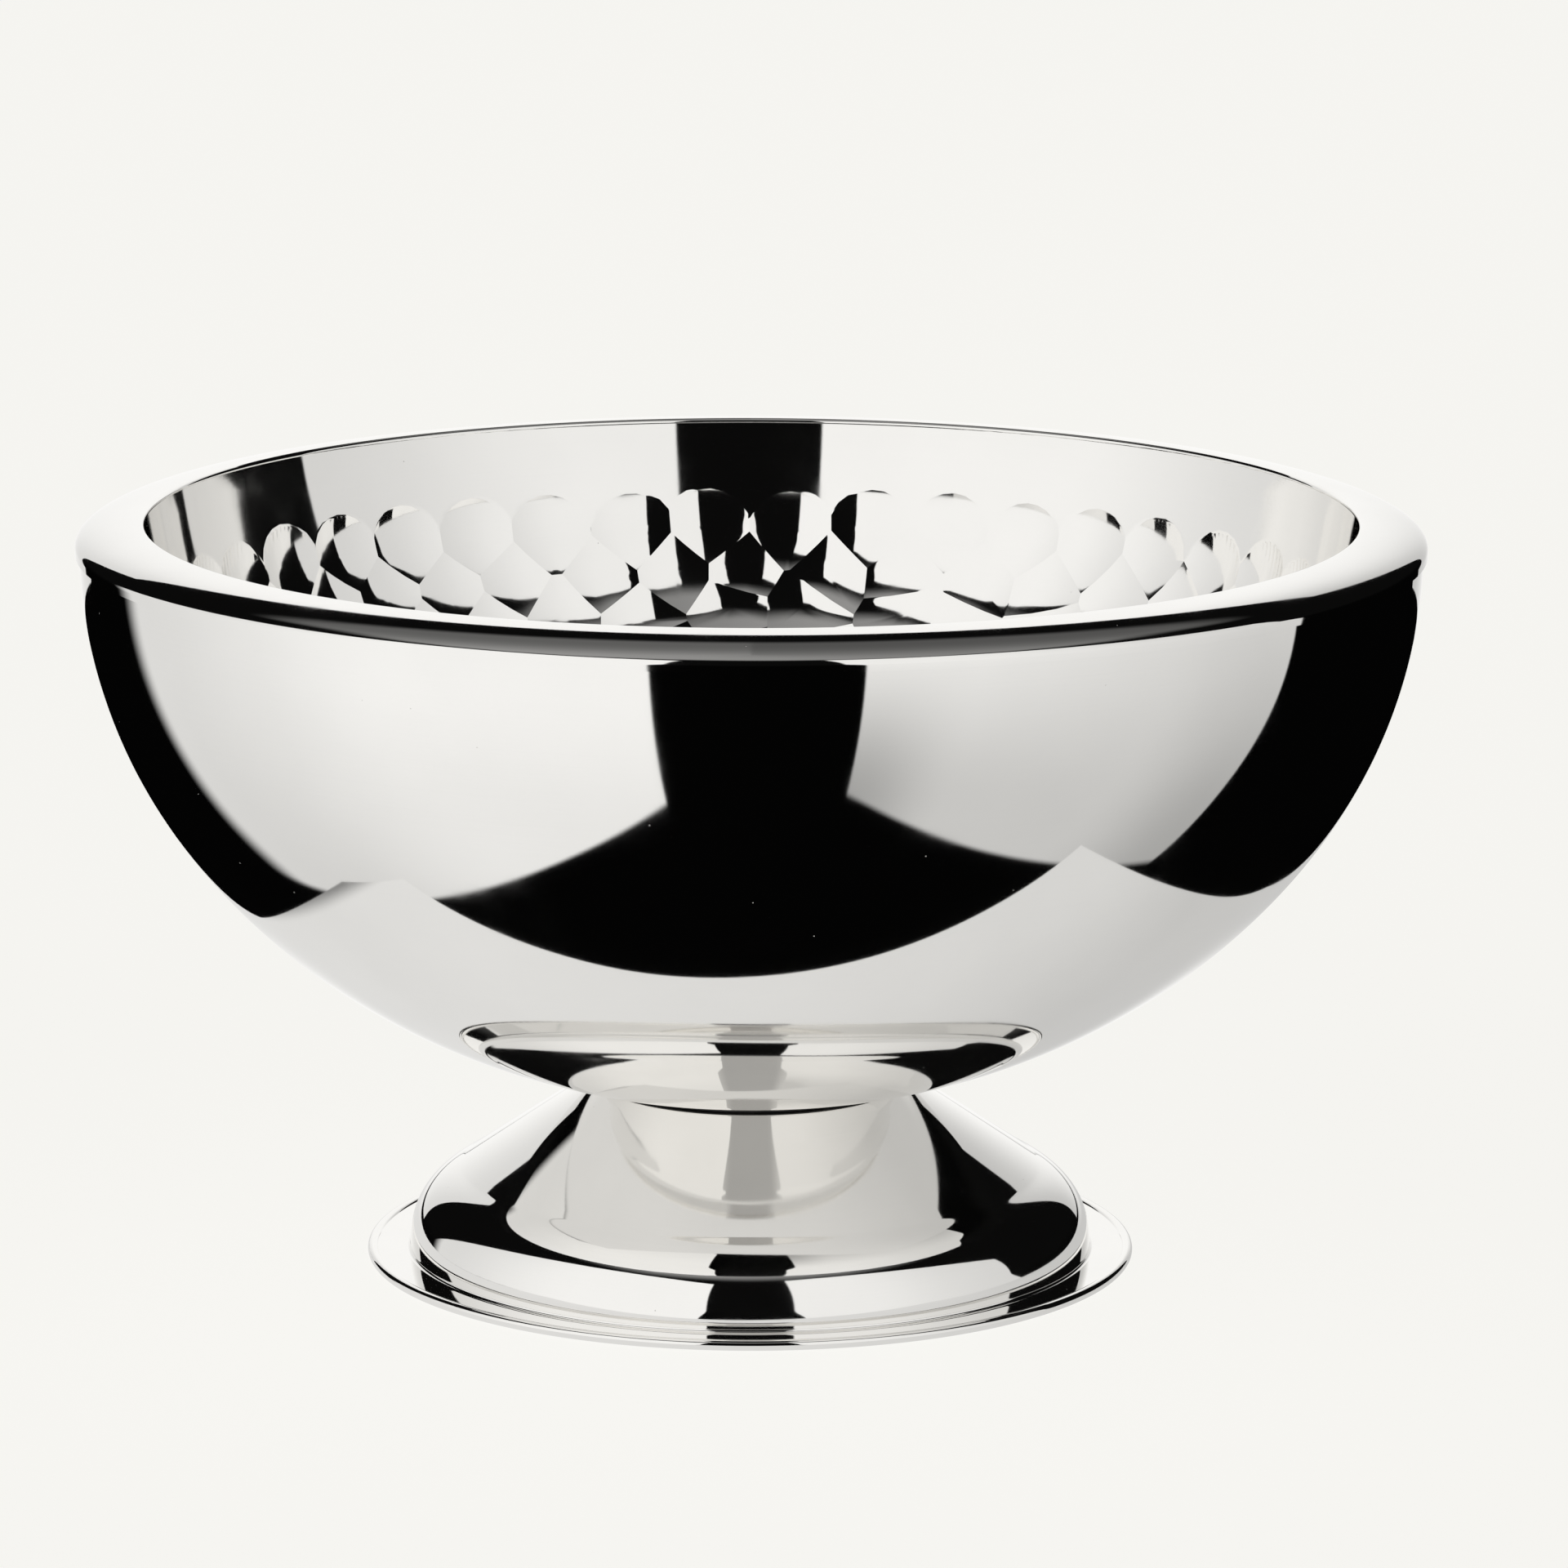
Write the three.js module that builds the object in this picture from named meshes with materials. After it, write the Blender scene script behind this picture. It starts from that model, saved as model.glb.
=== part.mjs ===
// A double-walled champagne bowl on a spun pedestal foot, in millimetres, +Z up.
// The origin is on the bowl's axis, on the surface that the foot stands on.
import * as THREE from "three";

// Driving dimensions.
const LARGE_STEPS = 40; // flat sides of the bowls, the foot and the rings on them
const SMALL_STEPS = 24; // flat sides of the turned pieces in the fastening
const BOWL_SHEET = 1.0; // wall of both bowls
const FOOT_SHEET = 0.8; // wall of the foot
const SEAM = 0.4; // space between pieces that are fastened together
const BOWL_ARC_STEPS = 10; // straight stretches in each bowl's curve
const BEND_STEPS = 6; // and in each of the wide bends
const CORNER_STEPS = 3; // and in each of the tight ones

// Outer shell: the lower half of an ellipse, cut flat where it sits on the foot.
const SHELL_RADIUS = 238.5;
const SHELL_DEPTH = 200;
const SHELL_CENTRE_Z = 260;
const SEAT_Z = 66; // underside of the flat seat
const SHELL_TOP_Z = 261.5; // upper edge, hidden inside the rim

// Inner bowl: an ellipse with a rounded lip, a wide domed flange and a short skirt.
const RIM_RADIUS = 240;
const RIM_TOP_Z = 269.5;
const FLANGE_FOOT_Z = 261; // where the flange turns vertical
const SKIRT_BOTTOM_Z = 258.8;
const LIP_RADIUS = 1.5;
const LIP_TOP_R = 217; // radius of the highest circle
const LIP_CENTRE_Z = RIM_TOP_Z - LIP_RADIUS;
const WELL_TILT_DEG = 9.1; // the wall leans out by this much where it meets the lip
const WELL_RADIUS = 218.32;
const WELL_CENTRE_Z = 303;
const WELL_BOTTOM_Z = 82;
const WELL_EDGE_DEG = -9.2; // the lip's start, as an angle of the ellipse
const WELL_FLAT_DEG = 7; // the middle of the floor, which is left flat, as an angle of the ellipse
const BOND_WIDTH = 6; // ring of resin behind the seam at the rim
const BOND_FOOT = 2;

// Pedestal foot: a flat top, a cone, a rounded shoulder, a flange and a rolled edge.
const FOOT_TOP_Z = 64.5;
const FOOT_TOP_R = 55.5;
const NECK_HANDLE = 1.6;
const CONE_START = new THREE.Vector2(59.2, 62.6);
const CONE_END = new THREE.Vector2(97.3, 36.9);
const SHOULDER_END = new THREE.Vector2(122.9, 4.2);
const SHOULDER_HANDLES = [14, 19.5];
const FLANGE_Z = 2.6;
const FILLET_RADIUS = 1.2;
const BEAD_CENTRE_R = 136.3;
const BEAD_RADIUS = 1.95;
const BEAD_SIDE_DEG = 45; // the bead is a curl with flat sides, one of which lies on the floor
const BEAD_SIDES = 6;
const BEAD_START_DEG = 112.5;
const BEAD_CENTRE_Z = BEAD_RADIUS * Math.cos(THREE.MathUtils.degToRad(BEAD_SIDE_DEG / 2));
const BEAD_LEAD = 0.5; // flat flange before the bead starts
const EDGE_WIRE_RADIUS = 0.75;

// Fastening: a stud through the seat, clamped from below inside the foot.
const STUD_RADIUS = 4;
const STUD_HOLE_R = 4.5;
const STUD_BOTTOM_Z = 45;
const STUD_HEAD_R = 9;
const STUD_HEAD_HEIGHT = 3;
const STUD_HEAD_CHAMFER = 1.4;
const STUD_TIP_CHAMFER = 0.8;
const STUD_PLATE_R = 45;
const STUD_PLATE_HEIGHT = 2;
const PAD_INNER_R = 14;
const PAD_OUTER_R = 44;
const GASKET_INNER_R = 40;
const GASKET_OUTER_R = 56.6;
const SPREADER_R = 42;
const SPREADER_HEIGHT = 2.5;
const SPREADER_EDGE = 8; // width of the dished edge
const SPREADER_DISH = 2;
const SPRING_WASHER_R = 7.4;
const SPRING_WASHER_HEIGHT = 2;
const SPRING_WASHER_SPLIT = 0.16; // radians
const NUT_ACROSS_FLATS = 13;
const NUT_HEIGHT = 6.5;

const point = (r, z) => new THREE.Vector2(r, z);

function ellipseArc(centreR, centreZ, radiusR, radiusZ, fromDeg, toDeg, steps) {
  const points = [];
  for (let i = 0; i <= steps; i++) {
    const angle = THREE.MathUtils.degToRad(fromDeg + ((toDeg - fromDeg) * i) / steps);
    points.push(point(centreR + radiusR * Math.cos(angle), centreZ + radiusZ * Math.sin(angle)));
  }
  return points;
}

// Points along a path, without the doubles where two stretches meet.
function joined(...stretches) {
  const points = [];
  for (const p of stretches.flat()) {
    const last = points[points.length - 1];
    if (!last || last.distanceTo(p) > 1e-3) points.push(p);
  }
  return points;
}

// The closed outline of a sheet: the path, and the path moved to its left by the thickness.
function sheetOutline(path, thickness) {
  const moved = path.map((p, i) => {
    const before = path[Math.max(i - 1, 0)];
    const after = path[Math.min(i + 1, path.length - 1)];
    const toLast = p.clone().sub(before).normalize();
    const toNext = after.clone().sub(p).normalize();
    const along = toLast.clone().add(toNext).normalize();
    const stretch = toLast.length() && toNext.length() ? along.dot(toNext) : 1;
    return point(-along.y, along.x).multiplyScalar(thickness / stretch).add(p);
  });
  return [...path, ...moved.reverse()];
}

function signedArea(outline) {
  return outline.reduce((sum, p, i) => sum + p.cross(outline[(i + 1) % outline.length]), 0) / 2;
}

// Turns a closed outline about the Z axis. An outline that has two points on the axis stays open there.
function turned(outline, steps) {
  const profile = signedArea(outline) > 0 ? [...outline] : [...outline].reverse();
  const onAxis = (p) => Math.abs(p.x) < 1e-6;
  if (profile.some(onAxis)) {
    const top = profile.findIndex((p, i) => onAxis(p) && onAxis(profile[(i + 1) % profile.length]));
    profile.push(...profile.splice(0, top + 1));
  } else {
    profile.push(profile[0].clone());
  }
  return new THREE.LatheGeometry(profile, steps).rotateX(Math.PI / 2);
}

function ring(innerR, outerR, bottomZ, topZ) {
  const corners = [point(innerR, bottomZ), point(outerR, bottomZ), point(outerR, topZ), point(innerR, topZ)];
  return turned(corners, SMALL_STEPS);
}

// Materials.
const metal = (color, roughness) => new THREE.MeshStandardMaterial({ color, roughness, metalness: 1 });
const silver = metal(0xe9e8e4, 0.05);
const plainSteel = metal(0xb4b4b2, 0.35);
const rubber = new THREE.MeshStandardMaterial({ color: 0x141414, roughness: 0.7, metalness: 0 });
const cork = new THREE.MeshStandardMaterial({ color: 0xb08a5c, roughness: 0.9, metalness: 0 });
const resin = new THREE.MeshStandardMaterial({ color: 0x8c8f90, roughness: 0.6, metalness: 0 });

const champagneBowl = new THREE.Group();

function add(name, geometry, material) {
  const mesh = new THREE.Mesh(geometry, material);
  mesh.name = name;
  champagneBowl.add(mesh);
}

// The bowls.
function outerShell() {
  const seatAngle = THREE.MathUtils.radToDeg(Math.asin((SEAT_Z - SHELL_CENTRE_Z) / SHELL_DEPTH));
  const path = joined(
    [point(STUD_HOLE_R, SEAT_Z)],
    ellipseArc(0, SHELL_CENTRE_Z, SHELL_RADIUS, SHELL_DEPTH, seatAngle, 0, BOWL_ARC_STEPS),
    [point(SHELL_RADIUS, SHELL_TOP_Z)],
  );
  return turned(sheetOutline(path, BOWL_SHEET), LARGE_STEPS);
}

function innerBowl() {
  const depth = WELL_CENTRE_Z - WELL_BOTTOM_Z;
  const flangeWidth = RIM_RADIUS - LIP_TOP_R;
  const flangeRise = RIM_TOP_Z - FLANGE_FOOT_Z;
  const path = joined(
    [point(0, WELL_BOTTOM_Z)],
    ellipseArc(0, WELL_CENTRE_Z, WELL_RADIUS, depth, WELL_FLAT_DEG - 90, WELL_EDGE_DEG, BOWL_ARC_STEPS),
    ellipseArc(LIP_TOP_R, LIP_CENTRE_Z, LIP_RADIUS, LIP_RADIUS, 180 + WELL_TILT_DEG, 90, CORNER_STEPS),
    ellipseArc(LIP_TOP_R, FLANGE_FOOT_Z, flangeWidth, flangeRise, 90, 0, BEND_STEPS),
    [point(RIM_RADIUS, SKIRT_BOTTOM_Z)],
  );
  const outline = sheetOutline(path, -BOWL_SHEET);
  outline[outline.length - 1].x = 0;
  return turned(outline, LARGE_STEPS);
}

// A ring of sealing resin in the corner between the shell's upper edge and the flange.
function rimBondRing() {
  const outerR = SHELL_RADIUS - BOWL_SHEET - SEAM;
  const innerR = outerR - BOND_WIDTH;
  const spareWidth = RIM_RADIUS - LIP_TOP_R - BOWL_SHEET - SEAM;
  const spareRise = RIM_TOP_Z - FLANGE_FOOT_Z - BOWL_SHEET - SEAM;
  const angleAt = (r) => THREE.MathUtils.radToDeg(Math.acos((r - LIP_TOP_R) / spareWidth));
  const outline = [
    point(outerR - BOND_FOOT, SHELL_TOP_Z - BOND_WIDTH),
    point(outerR, SHELL_TOP_Z - BOND_WIDTH),
    ...ellipseArc(LIP_TOP_R, FLANGE_FOOT_Z, spareWidth, spareRise, angleAt(outerR), angleAt(innerR), 2),
    point(innerR, SHELL_TOP_Z),
  ];
  return turned(outline, LARGE_STEPS);
}

// The foot, from the stud hole out to the rolled edge, which curls round the edge wire.
function footPath() {
  const along = CONE_END.clone().sub(CONE_START).normalize();
  const shoulder = new THREE.CubicBezierCurve(
    CONE_END,
    CONE_END.clone().addScaledVector(along, SHOULDER_HANDLES[0]),
    SHOULDER_END.clone().add(point(0, SHOULDER_HANDLES[1])),
    SHOULDER_END,
  );
  const neck = new THREE.QuadraticBezierCurve(
    point(FOOT_TOP_R, FOOT_TOP_Z),
    point(FOOT_TOP_R + NECK_HANDLE, FOOT_TOP_Z),
    CONE_START,
  );
  const filletCentre = point(SHOULDER_END.x + FILLET_RADIUS, FLANGE_Z + FILLET_RADIUS);
  const beadEnd = BEAD_START_DEG - BEAD_SIDES * BEAD_SIDE_DEG;
  return joined(
    [point(STUD_HOLE_R, FOOT_TOP_Z)],
    neck.getPoints(2),
    shoulder.getPoints(BEND_STEPS),
    ellipseArc(filletCentre.x, filletCentre.y, FILLET_RADIUS, FILLET_RADIUS, 180, 270, CORNER_STEPS),
    [point(BEAD_CENTRE_R - BEAD_RADIUS - BEAD_LEAD, FLANGE_Z)],
    ellipseArc(BEAD_CENTRE_R, BEAD_CENTRE_Z, BEAD_RADIUS, BEAD_RADIUS, BEAD_START_DEG, beadEnd, BEAD_SIDES),
  );
}

function edgeWire() {
  const section = ellipseArc(BEAD_CENTRE_R, BEAD_CENTRE_Z, EDGE_WIRE_RADIUS, EDGE_WIRE_RADIUS, 0, 300, 5);
  return turned(section, LARGE_STEPS);
}

add("outer_shell", outerShell(), silver);
add("inner_bowl", innerBowl(), silver);
add("rim_bond_ring", rimBondRing(), resin);
add("pedestal_foot", turned(sheetOutline(footPath(), -FOOT_SHEET), LARGE_STEPS), silver);
add("foot_edge_wire", edgeWire(), plainSteel);

// The stack that holds the foot, from the top down.
const plateZ = SEAT_Z + BOWL_SHEET + SEAM;
const abovePlateZ = plateZ + STUD_PLATE_HEIGHT + SEAM; // the stud's head and the pad rest here
const padTopZ = WELL_BOTTOM_Z - BOWL_SHEET - SEAM;
const spreaderZ = FOOT_TOP_Z - FOOT_SHEET - SEAM - SPREADER_HEIGHT;
const springWasherZ = spreaderZ - SEAM - SPRING_WASHER_HEIGHT;
const nutZ = springWasherZ - SEAM - NUT_HEIGHT;

function stud() {
  const headTopZ = abovePlateZ + STUD_HEAD_HEIGHT;
  const outline = [
    point(0, STUD_BOTTOM_Z),
    point(STUD_RADIUS - STUD_TIP_CHAMFER, STUD_BOTTOM_Z),
    point(STUD_RADIUS, STUD_BOTTOM_Z + STUD_TIP_CHAMFER),
    point(STUD_RADIUS, abovePlateZ),
    point(STUD_HEAD_R, abovePlateZ),
    point(STUD_HEAD_R, headTopZ - STUD_HEAD_CHAMFER),
    point(STUD_HEAD_R - STUD_HEAD_CHAMFER, headTopZ),
    point(0, headTopZ),
  ];
  return turned(outline, SMALL_STEPS);
}

// A flat plate whose outer edge is dished down.
function spreaderPlate() {
  const path = [
    point(STUD_HOLE_R, spreaderZ),
    point(SPREADER_R - SPREADER_EDGE, spreaderZ),
    point(SPREADER_R, spreaderZ - SPREADER_DISH),
  ];
  return turned(sheetOutline(path, SPREADER_HEIGHT), SMALL_STEPS);
}

function extrudedUp(shape, bottomZ, height) {
  const options = { depth: height, bevelEnabled: false, curveSegments: 12 };
  const geometry = new THREE.ExtrudeGeometry(shape, options);
  return geometry.translate(0, 0, bottomZ);
}

function springWasher() {
  const shape = new THREE.Shape();
  shape.absarc(0, 0, SPRING_WASHER_R, SPRING_WASHER_SPLIT, 2 * Math.PI - SPRING_WASHER_SPLIT, false);
  shape.absarc(0, 0, STUD_HOLE_R, 2 * Math.PI - SPRING_WASHER_SPLIT, SPRING_WASHER_SPLIT, true);
  return extrudedUp(shape, springWasherZ, SPRING_WASHER_HEIGHT);
}

function hexNut() {
  const cornerR = NUT_ACROSS_FLATS / Math.sqrt(3);
  const corners = [];
  for (let i = 0; i < 6; i++) {
    const angle = (i * Math.PI) / 3;
    corners.push(point(cornerR * Math.cos(angle), cornerR * Math.sin(angle)));
  }
  const shape = new THREE.Shape(corners);
  shape.holes.push(new THREE.Path().absarc(0, 0, STUD_HOLE_R, 0, 2 * Math.PI, true));
  return extrudedUp(shape, nutZ, NUT_HEIGHT);
}

add("stud_plate", ring(STUD_HOLE_R, STUD_PLATE_R, plateZ, plateZ + STUD_PLATE_HEIGHT), plainSteel);
add("foot_stud", stud(), plainSteel);
add("support_pad", ring(PAD_INNER_R, PAD_OUTER_R, abovePlateZ, padTopZ), cork);
add("seat_gasket", ring(GASKET_INNER_R, GASKET_OUTER_R, FOOT_TOP_Z + SEAM, SEAT_Z - SEAM), rubber);
add("spreader_plate", spreaderPlate(), plainSteel);
add("spring_washer", springWasher(), plainSteel);
add("hex_nut", hexNut(), plainSteel);

export default champagneBowl;
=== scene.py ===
"""The looks of a double-walled champagne bowl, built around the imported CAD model.

Profiles and small parts are worked out in millimetres, as (radius, height) pairs turned about the Z axis,
and become metres when a mesh is made. Directions in the studio are azimuths in degrees from the camera's
side, positive to the right, and elevations above the horizon.
"""
import math
import random

import bpy
import numpy as np
from mathutils import Euler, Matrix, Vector, noise
from mathutils.geometry import delaunay_2d_cdt


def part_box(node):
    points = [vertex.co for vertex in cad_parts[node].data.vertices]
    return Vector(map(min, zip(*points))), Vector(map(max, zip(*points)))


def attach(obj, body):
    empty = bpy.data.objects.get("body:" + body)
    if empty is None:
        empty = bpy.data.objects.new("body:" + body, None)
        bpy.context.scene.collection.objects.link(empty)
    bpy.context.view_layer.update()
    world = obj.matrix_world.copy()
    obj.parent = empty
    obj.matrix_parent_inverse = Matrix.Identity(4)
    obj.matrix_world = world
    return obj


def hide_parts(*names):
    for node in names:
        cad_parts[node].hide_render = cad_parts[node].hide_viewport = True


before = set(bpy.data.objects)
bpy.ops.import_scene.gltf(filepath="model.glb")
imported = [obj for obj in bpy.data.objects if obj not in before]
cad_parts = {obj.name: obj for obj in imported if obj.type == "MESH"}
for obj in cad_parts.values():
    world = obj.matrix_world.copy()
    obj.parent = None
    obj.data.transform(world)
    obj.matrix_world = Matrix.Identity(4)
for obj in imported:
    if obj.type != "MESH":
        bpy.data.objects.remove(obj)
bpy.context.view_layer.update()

MM = 0.001


def box_mm(node):
    """Lowest and highest corner of a CAD node, in millimetres."""
    low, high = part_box(node)
    return low / MM, high / MM


# ---------------------------------------------------------------- sizes, in millimetres

BOWL_LOW, BOWL_HIGH = box_mm("inner_bowl")
SHELL_LOW, SHELL_HIGH = box_mm("outer_shell")
_, FOOT_HIGH = box_mm("pedestal_foot")

BOWL_SHEET = 1.0
FOOT_SHEET = 0.8

RIM_RADIUS = BOWL_HIGH.x
RIM_TOP = BOWL_HIGH.z
FLANGE_WIDTH = 23.0
FLANGE_RISE = 8.5
FLANGE_FOOT = RIM_TOP - FLANGE_RISE
LIP_RADIUS = 1.5
LIP_TOP_R = RIM_RADIUS - FLANGE_WIDTH
SKIRT_HEIGHT = 2.2  # how far the flange runs on below its widest circle

LIP_CENTRE = RIM_TOP - LIP_RADIUS
WELL_TILT = 9.1  # degrees by which the wall leans out where it meets the lip
WELL_EDGE = -9.2  # the lip's start, as an angle of the well's ellipse
WELL_RADIUS = 218.32
WELL_CENTRE = 303.0
WELL_BOTTOM = BOWL_LOW.z + BOWL_SHEET

SHELL_RADIUS = SHELL_HIGH.x
SHELL_CENTRE = 260.0
SHELL_DEPTH = 200.0
SEAT_Z = SHELL_LOW.z
STUD_HOLE_R = 4.5

FOOT_TOP = FOOT_HIGH.z
FOOT_TOP_R = 55.5
TOP_EDGE_HANDLES = ((1.2, 0.0), (-1.4, 0.96))  # of the bend between the flat top and the cone
CONE_START = (59.2, 62.6)
CONE_END = (104.0, 32.3)
SHOULDER_END = (122.9, 4.2)
SHOULDER_HANDLES = (5.0, 19.5)  # along the cone's end and above the shoulder's foot
FOOT_FLANGE_Z = 2.6
FOOT_FILLET = 1.2
FLAT_START = 0.2  # flat flange beside the fillet, before it runs on to the bead
BEAD_CENTRE_R = 136.3
BEAD_RADIUS = 1.95
BEAD_LEAD = 8.0  # degrees by which the bead starts after the flange's level
BEAD_END = -165.0

# The hammering: dents of one spherical radius, struck in rows from the top down.
HAMMER_TOP = RIM_TOP - 25.0  # highest points of the dents
DENT_RADIUS = 100.0
DENT_WIDTH = 31.0
DENT_ROW = 16.5
DENT_DEPTH = 1.45  # of the top row, below the smooth wall
DENT_JITTER = (0.2, 0.22)  # along and across the row, as shares of the spacing
TOP_ROW_CARE = 0.3  # share of the jitter in the top row, which has to meet the smooth wall cleanly
DENT_FADE = 70.0  # below the top row, the dents rise back to the smooth wall's level over this
EDGE_PARTS = 3  # stretches that each ridge is drawn in
SCALLOP_PARTS = 8
DENT_RINGS = (0.28, 0.55, 0.8, 0.94)
BAND_RINGS = (0.03, 0.12, 0.28, 0.5, 0.75)  # of the smooth band above the dents
HAMMER_SEED = 3

# Parts out of sight.
GASKET_INNER_R = 40.0
BOND_GAP = 0.4
BOND_WIDTH = 6.0
BOND_FOOT = 2.0
WIRE_RADIUS = 0.75
SPREADER_EDGE = 8.0
SPREADER_BEND = 3.0
SPREADER_DISH = 2.0
PAD_INNER_R = 14.0
STUD_RADIUS = 4.0
STUD_HEAD = 3.0
STUD_CHAMFER = 0.8
STUD_EDGE = 0.4
THREAD_PITCH = 1.25
THREAD_DEPTH = 0.7
THREAD_ROWS = 8  # of vertices in one pitch
NUT_ACROSS_FLATS = 13.0
NUT_BORE_EDGE = 0.5
NUT_CHAMFER_DEG = 30.0
SPLIT = 0.16  # half the spring washer's gap, in radians
SPLIT_SLANT = 0.06  # radians that the split leans over in each millimetre of height

# How far the spun surfaces wander from round.
RIM_WAVE = 0.05
SHELL_WAVE = 0.2
SHELL_WAVE_START = 60.0  # height below the rim over which the shell's wave grows
FOOT_WAVE = 0.12
WAVE_SIZE = 62.0
WAVE_CALM_R = 40.0  # inside this radius the wave dies away

TURN_STEPS = 288
SMALL_TURN_STEPS = 96
STUD_STEPS = 48

# ---------------------------------------------------------------- the picture

CAMERA_PLACE = (0.0, -2.8726, 0.7692)  # metres
LENS = 188.15
SENSOR_WIDTH = 36.0
VIEW_PITCH = 0.2050
VIEW_YAW = 0.0041
VIEW_ROLL = 0.0030
SILVER_TINT = (0.94, 0.932, 0.915)
DUST_COLOUR = (0.75, 0.74, 0.72, 1)
DUST_SIZE = 0.16 * MM
DUST_SPACING = 9 * MM
SILVER_REFLECTANCE = 0.93
BACKDROP = (0.947, 0.939, 0.905)
FLOOR_CORNERS = [(-6000, -4000), (6000, -4000), (6000, 9000), (-6000, 9000)]
FLOOR_DROP = -0.3
FLOOR_GLOW = 0.93
FLOOR_MATT = 0.15
STUDIO_TINT = (1.0, 0.995, 0.98, 1)
EDGE_SOFT = 0.25  # degrees, at the light areas' upright edges
FAR_EDGE_SOFT = 0.3
TOP_SOFT = 0.008
FOOT_SOFT = 0.03
TABLE_CORNERS = [(-255, -165), (278, -223), (300, 180), (300, 1150), (-265, 1150), (-265, 180), (-285, -90)]
TABLE_DROP = -0.2
WALL_CORNERS = [(-810, 1150, 0), (770, 1150, 0), (770, 1150, 1130), (-810, 1150, 900)]


# ---------------------------------------------------------------- profiles

def ellipse_arc(centre, radii, start, end, steps):
    """Points of an ellipse between two angles in degrees."""
    angles = np.radians(np.linspace(start, end, steps + 1))
    return [(centre[0] + radii[0] * math.cos(a), centre[1] + radii[1] * math.sin(a)) for a in angles]


def bezier(p0, p1, p2, p3, steps):
    """Points of a cubic curve from p0 to p3, with handles p1 and p2."""
    points = []
    for t in np.linspace(0, 1, steps + 1):
        weights = ((1 - t) ** 3, 3 * (1 - t) ** 2 * t, 3 * (1 - t) * t * t, t ** 3)
        points.append(tuple(sum(w * p[i] for w, p in zip(weights, (p0, p1, p2, p3))) for i in (0, 1)))
    return points


def joined(*stretches):
    """One path, without the doubles where two stretches meet."""
    path = []
    for point in (p for stretch in stretches for p in stretch):
        if not path or math.dist(path[-1], point) > 1e-4:
            path.append(tuple(point))
    return path


def path_normals(path):
    """Unit normals to the left of a path."""
    p = np.array(path)
    steps = np.diff(p, axis=0)
    steps /= np.linalg.norm(steps, axis=1)[:, None]
    along = np.vstack([steps[:1], steps[:-1] + steps[1:], steps[-1:]])
    along /= np.linalg.norm(along, axis=1)[:, None]
    return np.column_stack([-along[:, 1], along[:, 0]])


def sheet_outline(path, thickness):
    """Closed outline of a sheet that has path as one face, with its other face to the left."""
    other = np.array(path) + path_normals(path) * thickness
    return list(path) + [tuple(p) for p in other[::-1]]


# ---------------------------------------------------------------- meshes

def make_piece(name, vertices, faces, sharp_degrees=None):
    """A smooth-shaded object from vertices in millimetres."""
    mesh = bpy.data.meshes.new(name)
    mesh.from_pydata([Vector(v) * MM for v in vertices], [], faces)
    mesh.validate()
    mesh.shade_smooth()
    if sharp_degrees:
        mesh.set_sharp_from_angle(angle=math.radians(sharp_degrees))
    piece = bpy.data.objects.new(name, mesh)
    bpy.context.scene.collection.objects.link(piece)
    return piece


def turned_grid(path, angles, closed, first=0):
    """Vertices and faces of a path turned about Z; points on the axis become single vertices."""
    vertices, rows = [], []
    for r, z in path:
        if r < 1e-6:
            rows.append([first + len(vertices)] * len(angles))
            vertices.append((0, 0, z))
        else:
            rows.append([first + len(vertices) + k for k in range(len(angles))])
            vertices += [(r * math.cos(a), r * math.sin(a), z) for a in angles]
    pairs = list(zip(rows, rows[1:] + rows[:1])) if closed else list(zip(rows, rows[1:]))
    return vertices, faces_between(pairs)


def faces_between(pairs):
    """Faces between neighbouring rows of vertices, which run round the axis; poles give triangles."""
    faces = []
    for low, high in pairs:
        for k in range(len(low)):
            n = (k + 1) % len(low)
            face = list(dict.fromkeys((low[k], high[k], high[n], low[n])))
            if len(face) > 2:
                faces.append(face)
    return faces


def clockwise(outline):
    """The outline in the order that makes the turned faces point out."""
    area = sum(a[0] * b[1] - b[0] * a[1] for a, b in zip(outline, outline[1:] + outline[:1]))
    return outline if area < 0 else outline[::-1]


def turned(name, outline, steps=TURN_STEPS, sharp_degrees=35, wave=None):
    """A piece turned from a closed outline. wave gives how far the spun surface wanders at each height."""
    angles = np.linspace(0, 2 * math.pi, steps, endpoint=False)
    vertices, faces = turned_grid(clockwise(outline), angles, closed=True)
    if wave:
        vertices = [wandering(v, wave(v[2])) for v in vertices]
    return make_piece(name, vertices, faces, sharp_degrees)


def wandering(vertex, amount):
    """A vertex moved in or out along its radius by smooth noise, as on hand-finished metal."""
    radius = max(math.hypot(vertex[0], vertex[1]), WAVE_CALM_R)
    shift = 1 + amount * noise.noise(Vector(vertex) / WAVE_SIZE) / radius
    return (vertex[0] * shift, vertex[1] * shift, vertex[2])


# ---------------------------------------------------------------- the bowls

def flange_path():
    """Top of the rim, from the lip's inner side over the dome and down to the seam."""
    return joined(
        ellipse_arc((LIP_TOP_R, LIP_CENTRE), (LIP_RADIUS, LIP_RADIUS), 180 + WELL_TILT, 90, 14),
        ellipse_arc((LIP_TOP_R, FLANGE_FOOT), (FLANGE_WIDTH, FLANGE_RISE), 90, 0, 30),
        [(RIM_RADIUS, FLANGE_FOOT - SKIRT_HEIGHT)],
    )


def flange_back(top):
    """The hidden side of the flange, from the skirt's edge back to the lip."""
    inside = np.array(top) - path_normals(top) * BOWL_SHEET
    return [tuple(p) for p in [*inside[::-2], inside[0]]]


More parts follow.
